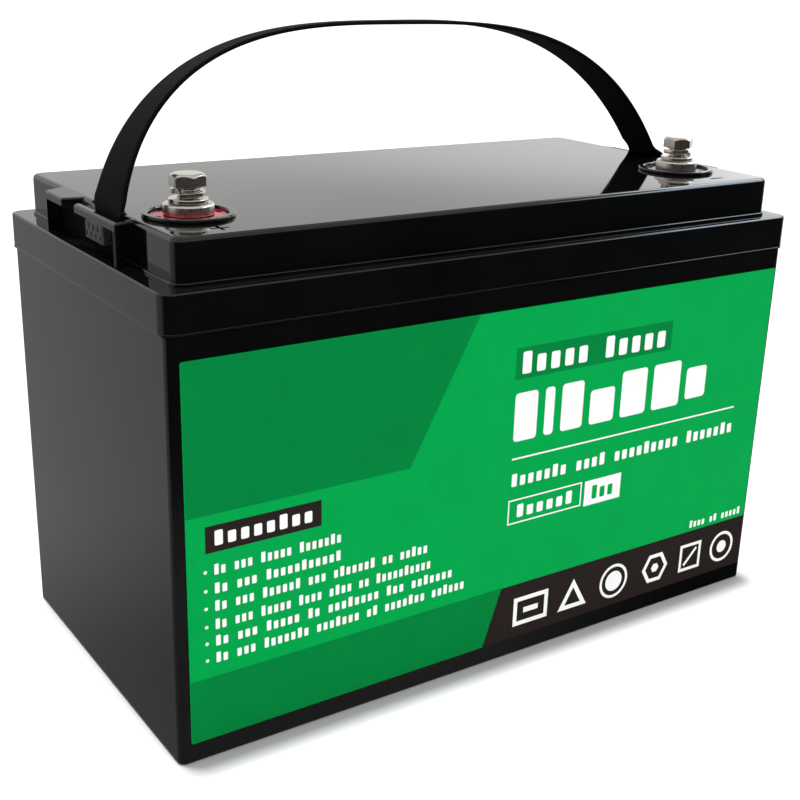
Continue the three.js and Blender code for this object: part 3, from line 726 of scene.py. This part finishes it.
def build_terminal(side, bolt_turn, split, cup_finish):
    centre = TERMINALS[side]
    node_box = {key: box_mm(f"{side}_{key}") for key in (
        "terminal_bezel", "terminal_cup", "terminal_post", "flat_washer", "spring_washer", "bolt")}

    def span(key):
        return node_box[key][0].z, node_box[key][1].z

    low, high = span("terminal_bezel")
    seat = DECK_TOP + 0.15
    place(build_turned(f"{side}_ring", "bezel_black", centre, [
        (15.5, low, 0), (16.3, low, 0), (16.3, seat, 0), (18.2, seat, 0.35),
        (18.2, high, 0.55), (15.9, high, 0.3), (15.5, high - 0.6, 0.2)]),
        "battery", [f"{side}_terminal_bezel"])
    low, high = span("terminal_cup")
    place(build_cup(f"{side}_insert", cup_finish, centre, low, high),
          "battery", [f"{side}_terminal_cup"])
    low, high = span("terminal_post")
    place(build_turned(f"{side}_post", "post_tin", centre, [
        (4.3, SHANK_HOLE_END, 0), (0.3, SHANK_HOLE_END, 0), (0.3, low, 0), (4, low, 0.3),
        (4, POST_STEP, 0), (8, POST_STEP, 0), (8, POST_FLANGE, 0), (10, POST_FLANGE, 0.4),
        (10, high, 0.9), (4.3, high, 0.3)]),
        "battery", [f"{side}_terminal_post"])
    low, high = span("flat_washer")
    place(build_turned(f"{side}_plain_washer", "nickel", centre, [
        (4.3, low, 0.15), (7.8, low, 0.2), (7.8, high, 0.4), (4.3, high, 0.2)]),
        f"{side}_washers", [f"{side}_flat_washer"])
    low, high = span("spring_washer")
    place(build_spring_washer(f"{side}_lock_washer", centre, low, high, split),
          f"{side}_washers", [f"{side}_spring_washer"])
    low, high = span("bolt")
    place(build_bolt(f"{side}_hex_bolt", centre, high - 5.3, high, low, bolt_turn),
          f"{side}_screw", [f"{side}_bolt"])


build_terminal("positive", math.radians(-5), math.radians(-162), "cup_red")
build_terminal("negative", math.radians(2), math.radians(-75), "cup_black")

# ---- carry strap -------------------------------------------------------------------------
STRAP_WIDTH = 25
STRAP_THICKNESS = 1.6
ARCH_TURN = math.radians(4.4)
ARCH_PLACE_Y = -3.5
ARCH_HALF, ARCH_BASE, ARCH_TOP, ARCH_POWER, ARCH_LEAN = 170, 100, 284.1, 3.02, -15.8
# How the webbing bends off the plain arch: factors of 1, c, c^2 and so on, where c runs from -1 at
# the left foot to 1 at the right foot. The twist is in radians.
BEND_ALONG = (1.3, 2.1, -5)
BEND_SIDEWAYS = (2.2, 3.4, -8.1)
WEBBING_TWIST = (-0.04, 0.286, -0.276, -0.255, 0.596)
SLOT_X = 158.3
SLOT_Y = {1: 8.5, -1: -22}
WELD_Y = 15.5
BEND_TOP, BEND_END = 222, 213.6
STRAP_LOW = 203


def smooth(t):
    t = min(max(t, 0.0), 1.0)
    return t * t * (3 - 2 * t)


def powers(factors, value):
    return sum(factor * value ** k for k, factor in enumerate(factors))


def arch_point(angle):
    """Middle of the webbing on the arch, and its twist there. Angle 0 is the right foot."""
    power = 2 / ARCH_POWER
    across = math.cos(angle)
    z = ARCH_BASE + (ARCH_TOP - ARCH_BASE) * math.sin(angle) ** power
    lean = ARCH_LEAN * (z - DECK_TOP) / (ARCH_TOP - DECK_TOP)
    distance = math.copysign(ARCH_HALF * abs(across) ** power, across) + lean
    distance += powers(BEND_ALONG, across)
    sway = powers(BEND_SIDEWAYS, across)
    point = Vector((distance * math.cos(ARCH_TURN),
                    distance * math.sin(ARCH_TURN) + ARCH_PLACE_Y + sway, z))
    return point, powers(WEBBING_TWIST, across)


def strap_line(count):
    """Evenly spaced (middle, twist, width direction, run) along the webbing, right end to left."""
    start = math.asin(((BEND_END - ARCH_BASE) / (ARCH_TOP - ARCH_BASE)) ** (ARCH_POWER / 2))
    line = []
    for i in range(801):
        point, twist = arch_point(start + (math.pi - 2 * start) * i / 800)
        sign = 1 if point.x > 0 else -1
        to_slot = smooth((BEND_TOP - point.z) / (BEND_TOP - BEND_END))
        point.x += (sign * SLOT_X - point.x) * to_slot
        point.y += (SLOT_Y[sign] - point.y) * to_slot
        line.append((point, twist * (1 - to_slot), ARCH_TURN * (1 - to_slot)))
    for sign in (1, -1):
        tail = []
        for k in range(1, 13):
            share = k / 12
            y = SLOT_Y[sign] + (sign * WELD_Y - SLOT_Y[sign]) * smooth(share)
            z = BEND_END - (BEND_END - STRAP_LOW) * share
            tail.append((Vector((sign * SLOT_X, y, z)), 0, 0))
        line = tail[::-1] + line if sign > 0 else line + tail
    lengths = [0.0]
    for a, b in zip(line, line[1:]):
        lengths.append(lengths[-1] + (b[0] - a[0]).length)
    even = []
    k = 0
    for i in range(count + 1):
        share = i / count
        wanted = lengths[-1] * (share - 0.11 * math.sin(TURN * share))
        while k < len(lengths) - 2 and lengths[k + 1] < wanted:
            k += 1
        share = min((wanted - lengths[k]) / max(lengths[k + 1] - lengths[k], 1e-9), 1.0)
        a, b = line[k], line[k + 1]
        even.append((a[0].lerp(b[0], share), a[1] + (b[1] - a[1]) * share,
                     a[2] + (b[2] - a[2]) * share, wanted))
    return even


def build_strap():
    shape = Shape()
    half_width, half = STRAP_WIDTH / 2, STRAP_THICKNESS / 2
    lip = 0.55
    face_steps = 12
    section = [(-half_width + lip + (STRAP_WIDTH - 2 * lip) * k / face_steps, half)
               for k in range(face_steps + 1)]
    section += [(half_width - 0.12, half * 0.6), (half_width, 0),
                (half_width - 0.12, -half * 0.6)]
    section += [(half_width - lip - (STRAP_WIDTH - 2 * lip) * k / face_steps, -half)
                for k in range(face_steps + 1)]
    section += [(-half_width + 0.12, -half * 0.6), (-half_width, 0),
                (-half_width + 0.12, half * 0.6)]
    line = strap_line(420)
    rings = []
    coordinates = []
    for i, (point, twist, turn, run) in enumerate(line):
        along = (line[min(i + 1, len(line) - 1)][0] - line[max(i - 1, 0)][0]).normalized()
        level = Vector((-math.sin(turn), math.cos(turn), 0))
        outward = level.cross(along).normalized()
        across, outward = (level * math.cos(twist) + outward * math.sin(twist),
                           outward * math.cos(twist) - level * math.sin(twist))
        pinch = 1.06 - 0.3 * smooth((PLATE_BOTTOM + 0.5 - point.z) / 4)
        pinch -= 0.06 * smooth((point.z - 216) / 8)
        if point.x < 0:
            pinch += 0.26 * (1 - smooth(abs(point.z - 216.6) / 0.8))
        ring = []
        for w, t in section:
            w *= pinch
            ring.append(point + across * w + outward * t)
            coordinates.append((run * MM, w * MM))
        rings.append(ring)
    shape.loft(rings)
    piece = shape.build("carry_strap", finishes["webbing_black"], sharp=80, weighted=False)
    weave = piece.data.uv_layers.new(name="weave")
    for loop in piece.data.loops:
        weave.data[loop.index].uv = coordinates[loop.vertex_index]
    return piece


strap = build_strap()
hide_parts("handle_strap")
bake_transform(strap)


def build_weld(sign):
    """Folded and welded webbing end: a flat block with two staggered rows of dents outside."""
    shape = Shape()
    node = "strap_end_right" if sign > 0 else "strap_end_left"
    low = box_mm(node)[0]
    width, columns, rows = 18.8, 80, 42
    top, bottom = PLATE_BOTTOM - 0.2, low.z
    outer = BOSS_REACH - 0.5
    inner = SLOT_X - 0.8
    middle = sign * WELD_Y

    def dent(u, v):
        """Depth at u across and v up the block, both from 0 to 1."""
        deepest = 0.0
        for row, count in ((0.7, 3), (0.28, 4)):
            for k in range(count):
                centre = (k + 0.5) / count if count == 4 else (k + 1) / (count + 1)
                across = abs(u - centre) * width / 0.7
                up = abs(v - row) * (top - bottom) / 1.05
                near = max(across, up)
                deepest = max(deepest, 1 - smooth((near - 0.75) / 0.4))
        return deepest * 0.85

    grid = []
    for j in range(rows + 1):
        v = j / rows
        line = []
        for i in range(columns + 1):
            u = i / columns
            edge = min(u, 1 - u) * width
            crown = 0.5 * (1 - smooth(edge / 0.9)) + 0.3 * (1 - smooth(min(v, 1 - v) * 10 / 0.8))
            depth = dent(u, v) + crown
            line.append((sign * (outer - depth), middle + (u - 0.5) * width,
                         bottom + (top - bottom) * v))
        grid.append(shape.ring(line))
    for a, b in zip(grid, grid[1:]):
        for i in range(columns):
            quad = (a[i], a[i + 1], b[i + 1], b[i])
            shape.faces.append(quad if sign > 0 else quad[::-1])
    rim = (grid[0] + [row[-1] for row in grid[1:]] + grid[-1][-2::-1]
           + [row[0] for row in grid[-2:0:-1]])
    back = shape.ring([(sign * inner, shape.points[i][1], shape.points[i][2]) for i in rim])
    count = len(rim)
    for i in range(count):
        j = (i + 1) % count
        quad = (rim[i], back[i], back[j], rim[j])
        shape.faces.append(quad if sign > 0 else quad[::-1])
    shape.faces.append(tuple(back[::-1] if sign > 0 else back))
    side = "right" if sign > 0 else "left"
    piece = shape.build(f"weld_block_{side}", welded_webbing, sharp=60, weighted=False)
    return place(piece, "battery", [node])


def welded():
    """Webbing melted together: grey, half glazed, with what is left of the weave."""
    n = Nodes("webbing_welded")
    n.link(n.ramp(n.noise(700, 4), ((0.3, (0.012, 0.012, 0.012)), (0.7, (0.034, 0.034, 0.032)))),
           n.shader.inputs["Base Color"])
    n.link(n.remap(n.noise(900, 2), 0.38, 0.6), n.shader.inputs["Roughness"])
    ribs = n.bump(n.noise(900, 2, stretch=(1, 1, 0.3)), 0.12)
    n.link(ribs, n.shader.inputs["Normal"])
    return n.material


welded_webbing = welded()
build_weld(-1)
build_weld(1)

# ---- front label -------------------------------------------------------------------------
label_low, label_high = box_mm("front_label")
LABEL_LEFT, LABEL_RIGHT = label_low.x, label_high.x
LABEL_BOTTOM, LABEL_TOP = label_low.z, label_high.z
LABEL_BACK = label_high.y


class Print:
    """Flat areas of one ink. Height is how far they stand in front of the label's back."""

    def __init__(self, height):
        self.shape = Shape()
        self.y = LABEL_BACK - height

    def area(self, outline, holes=()):
        """Outline of (x, z) points, with holes."""
        first = len(self.shape.points)
        self.shape.fill(anticlockwise(outline), [anticlockwise(h) for h in holes], self.y)
        for i in range(first, len(self.shape.points)):
            x, z, y = self.shape.points[i]
            self.shape.points[i] = (x, y, z)

    def bar(self, left, right, bottom, top, radius=0.0):
        if radius > 0:
            middle_x, middle_z = (left + right) / 2, (bottom + top) / 2
            self.area([(middle_x + x, middle_z + z) for x, z in rounded_rectangle(
                right - left, top - bottom, radius, 4)])
        else:
            self.area([(left, bottom), (right, bottom), (right, top), (left, top)])

    def frame(self, left, right, bottom, top, line):
        """Rectangular outline of that line width."""
        self.area([(left, bottom), (right, bottom), (right, top), (left, top)],
                  [[(left + line, bottom + line), (right - line, bottom + line),
                    (right - line, top - line), (left + line, top - line)]])

    def ring(self, x, z, radius, line, count=48):
        self.area(circle(x, z, radius, count), [circle(x, z, radius - line, count)])

    def build(self, name, finish):
        piece = self.shape.build(name, finish, weighted=False)
        return place(piece, "battery")


def blank_words(ink, left, right, bottom, height, words):
    """A line of blank type: one small block a letter, every fifth one taller."""
    letters = sum(words) + len(words) - 1
    pitch = (right - left) / letters
    x = left
    count = 0
    for word in words:
        for _ in range(word):
            tall = height * (1.0 if count % 5 == 0 else 0.78)
            ink.bar(x + pitch * 0.14, x + pitch * 0.76, bottom, bottom + tall,
                    min(pitch, height) * 0.12)
            x += pitch
            count += 1
        x += pitch


def build_label():
    shape = Shape()
    middle_x, middle_z = (LABEL_LEFT + LABEL_RIGHT) / 2, (LABEL_BOTTOM + LABEL_TOP) / 2
    thickness = 0.3
    outline = rounded_rectangle(LABEL_RIGHT - LABEL_LEFT, LABEL_TOP - LABEL_BOTTOM, 0.8, 5)
    rings = []
    for cut, y in ((0, LABEL_BACK), (0, LABEL_BACK - thickness + 0.1),
                   (0.1, LABEL_BACK - thickness)):
        rings.append([(middle_x + x, y, middle_z + z) for x, z in inset(outline, cut)])
    shape.loft(rings)
    place(shape.build("label_sheet", finishes["label_green"], sharp=60),
          "battery", ["front_label"])

    dark = Print(0.33)
    dark.area([(LABEL_LEFT + 0.2, 108.7), (-56, 108.7), (-22.5, LABEL_TOP - 0.2),
               (LABEL_LEFT + 0.2, LABEL_TOP - 0.2)])
    dark.area([(LABEL_LEFT + 0.2, LABEL_BOTTOM + 0.2), (-12, LABEL_BOTTOM + 0.2), (-2.6, 37.8),
               (LABEL_LEFT + 0.2, 37.8)])
    dark.bar(-1.8, 92.4, 139, 153.4)
    dark.build("label_dark_green", printed("ink_dark_green", (0.0010, 0.205, 0.0435)))

    black = Print(0.34)
    black.area([(-12, LABEL_BOTTOM), (LABEL_RIGHT - 0.5, LABEL_BOTTOM),
                (LABEL_RIGHT, LABEL_BOTTOM + 0.5), (LABEL_RIGHT, 37.3), (-2.6, 37.5)])
    black.bar(-150.7, -99, 92.6, 104)
    black.build("label_black", printed("ink_black", (0.021, 0.0155, 0.0145), 0.4))

    white = Print(0.37)
    blank_words(white, -147.5, -102, 95.3, 6.4, (8,))
    lines = ((85.2, -89, (2, 3, 5, 7)), (77, -89, (2, 3, 11)), (69.3, -45, (2, 3, 6, 3, 7, 2, 5)),
             (61.2, -43, (2, 3, 5, 4, 4, 2, 10)), (53.8, -31, (2, 3, 5, 2, 8, 3, 7)),
             (46.2, -24, (2, 3, 7, 7, 2, 7, 6)))
    for z, right, words in lines:
        white.area(circle(-151, z - 0.4, 0.75, 14))
        blank_words(white, -147.5, right, z - 2.3, 4.6, words)
    blank_words(white, 0.8, 90, 141.2, 10.2, (5, 5))
    big_blocks = ((0, 22.8, 14), (0, 22.8, 6.5), (0, 22.8, 14), (0, 16.8, 16), (0, 22.8, 17),
                  (0, 22.8, 19), (1.8, 16, 14.5))
    x = -1
    for lift, tall, wide in big_blocks:
        white.bar(x, x + wide - 1, 109.8 + lift, 109.8 + lift + tall, 1.8)
        x += wide + 3.3
    white.bar(-1, 142, 101.1, 101.9)
    blank_words(white, -1, 143, 88, 6.2, (7, 4, 9, 7))
    white.frame(-1.5, 42.5, 69.3, 81.5, 0.7)
    blank_words(white, 3, 38, 72.2, 6.4, (6,))
    white.bar(44.4, 67.4, 68.4, 81.2)
    blank_words(white, 119, 157, 39.3, 4, (4, 2, 5))
    build_icons(white)
    white.build("label_white", printed("ink_white", (0.86, 0.88, 0.86), 0.42))

    green = Print(0.39)
    blank_words(green, 48.5, 63.5, 71.2, 7, (3,))
    green.build("label_small_mark", finishes["label_green"])


def build_icons(ink):
    """Six plain figures in a row: frame, triangle, disc, hexagon, square and ring."""
    z = 22.6
    ink.frame(5.5, 26.4, 15.2, 30, 2.2)
    ink.bar(11.5, 20.4, 21.2, 24)
    ink.area([(33.2, 15.2), (51.4, 15.2), (42.3, 30.8)], [[(37.3, 17.5), (47.3, 17.5), (42.3, 26.3)]])
    ink.area(circle(68.9, z, 5.4, 40))
    ink.ring(68.9, z, 9.2, 1.5)
    ink.area(circle(97.1, z, 8.9, 6), [circle(97.1, z, 6.6, 6)])
    ink.area(circle(97.1, z, 2.6, 6))
    ink.frame(114.6, 129.8, 15, 30.2, 1.7)
    ink.area([(117.5, 18.9), (118.6, 17.8), (126.9, 26.3), (125.8, 27.4)])
    ink.ring(145.6, z, 8.6, 1.6)
    ink.area(circle(145.6, z, 3.4, 30))


build_label()

# ---- camera, floor and light -------------------------------------------------------------
CAMERA_PLACE = (-0.33664, -0.48792, 0.31214)
camera_data = bpy.data.cameras.new("camera")
camera_data.sensor_width = 36
camera_data.lens = 56.77
camera_data.clip_start = 0.01
camera_data.clip_end = 100
camera = bpy.data.objects.new("camera", camera_data)
bpy.context.scene.collection.objects.link(camera)
heading, fall, roll = math.radians(34.28), math.radians(19.42), math.radians(1.67)
forward = Vector((math.sin(heading) * math.cos(fall), math.cos(heading) * math.cos(fall),
                  -math.sin(fall)))
right = forward.cross(Vector((0, 0, 1))).normalized()
upward = right.cross(forward)
right, upward = (right * math.cos(roll) + upward * math.sin(roll),
                 upward * math.cos(roll) - right * math.sin(roll))
camera.matrix_world = Matrix.Translation(CAMERA_PLACE) @ Matrix(
    (right, upward, -forward)).transposed().to_4x4()
bpy.context.scene.camera = camera
bpy.context.scene.view_settings.view_transform = "Standard"


def build_floor():
    shape = Shape()
    shape.fill(circle(0, 0, 20000, 96), [], 0)
    floor = shape.build("floor", varied("floor_white", (0.93, 0.9, 0.925), 0.7, tint=0.01,
                                        patches=3, bumps=((40, 0.02),)), weighted=False)
    floor.visible_glossy = False


build_floor()


def build_world():
    """Studio surroundings. Reflections see light that is brightest to the right and dark low
    down in front. Scattered light sees half strength all round, and the background is white."""
    world = bpy.data.worlds.new("studio")
    bpy.context.scene.world = world
    world.use_nodes = True
    tree = Tree(world.node_tree)
    background = world.node_tree.nodes["Background"]

    def calculate(operation, a, b):
        return tree.math(operation, a, b)

    def step(value, start, end, low=0.0, high=1.0):
        return tree.remap(value, low, high, start, end, interpolation_type="SMOOTHSTEP")

    direction = tree.add("ShaderNodeSeparateXYZ")
    tree.link(tree.add("ShaderNodeTexCoord").outputs["Generated"], direction.inputs["Vector"])
    x, y, z = (direction.outputs[k] for k in "XYZ")
    side = calculate("ADD", step(x, 0.4, 0.68, 0.85, 1.15), step(x, 0.68, 0.78, 0.0, 0.75))
    overhead = step(z, 0.42, 0.6, 1.0, 0.8)
    hazy = calculate("SUBTRACT", 1.0, calculate("MULTIPLY", 0.25, calculate(
        "MULTIPLY", step(z, 0.145, 0.18), step(x, 0.38, 0.58))))
    low_right = calculate("SUBTRACT", 1.0, calculate("MULTIPLY", 0.86, calculate(
        "MULTIPLY", step(z, 0.03, -0.08),
        calculate("MULTIPLY", step(x, 0.42, 0.6), step(y, 0.4, 0.55)))))
    front = step(y, 0.1, -0.25)
    low = step(z, 0.42, 0.2)
    dark = calculate("SUBTRACT", 0.985, calculate(
        "MULTIPLY", step(z, -0.4, -0.46, 0.0, 0.95), step(x, 0.66, 0.5)))
    kept = calculate("SUBTRACT", 1.0, calculate("MULTIPLY", dark, calculate("MULTIPLY", front, low)))
    below = calculate("MULTIPLY", step(z, 0.0, -0.12, 1.0, 0.5), step(z, -0.4, -0.52, 1.0, 0.45))
    light = calculate("MULTIPLY", calculate("MULTIPLY", side, overhead),
                      calculate("MULTIPLY", kept, below))
    light = calculate("MULTIPLY", light, calculate("MULTIPLY", hazy, low_right))
    rays = tree.add("ShaderNodeLightPath")
    scattered = calculate("MULTIPLY", rays.outputs["Is Diffuse Ray"], 0.5)
    seen = calculate("ADD", rays.outputs["Is Camera Ray"], scattered)
    reflected = calculate("MULTIPLY", rays.outputs["Is Glossy Ray"], light)
    tree.link(calculate("ADD", seen, reflected), background.inputs["Strength"])
    background.inputs["Color"].default_value = (1, 1, 0.985, 1)


build_world()


def add_light(name, kind, energy, **settings):
    data = bpy.data.lights.new(name, kind)
    data.energy = energy
    for key, value in settings.items():
        setattr(data, key, value)
    light = bpy.data.objects.new(name, data)
    bpy.context.scene.collection.objects.link(light)
    return light


def front_fill():
    """Soft round light in front of the label. Reflections don't see it."""
    light = add_light("front_fill", "AREA", 11.2, shape="DISK", size=1.2, color=(1, 1, 1))
    place_at, target = Vector((0.1, -2.2, 0.8)), Vector((0, 0, 0.1))
    light.location = place_at
    light.rotation_euler = (target - place_at).to_track_quat("-Z", "Y").to_euler()
    light.visible_camera = False
    light.visible_glossy = False


def edge_light():
    """Tall cool strip, up to the right, that draws the bright line on the rounded edges there."""
    light = add_light("edge_light", "AREA", 9.5, shape="RECTANGLE", size=0.34, size_y=1.7,
                      color=(0.74, 0.88, 1.0))
    aim, distance, long_side = Vector((0.14, -0.08, 0.2)), 1.3, Vector((0, -0.98, -0.15))
    toward = Vector((0.775, -0.1, 0.62)).normalized()
    tall = (long_side - toward * toward.dot(long_side)).normalized()
    light.matrix_world = Matrix.Translation(aim + toward * distance) @ Matrix(
        (tall.cross(toward), tall, toward)).transposed().to_4x4()
    light.visible_camera = False
    light.visible_diffuse = False


def overhead_light():
    """Sun almost straight above and slightly behind, so the shadow is a narrow front band."""
    light = add_light("overhead", "SUN", 3.3, angle=math.radians(4))
    light.rotation_euler = Vector((0.012, -0.045, -1)).to_track_quat("-Z", "Y").to_euler()
    light.visible_glossy = False


front_fill()
edge_light()
overhead_light()
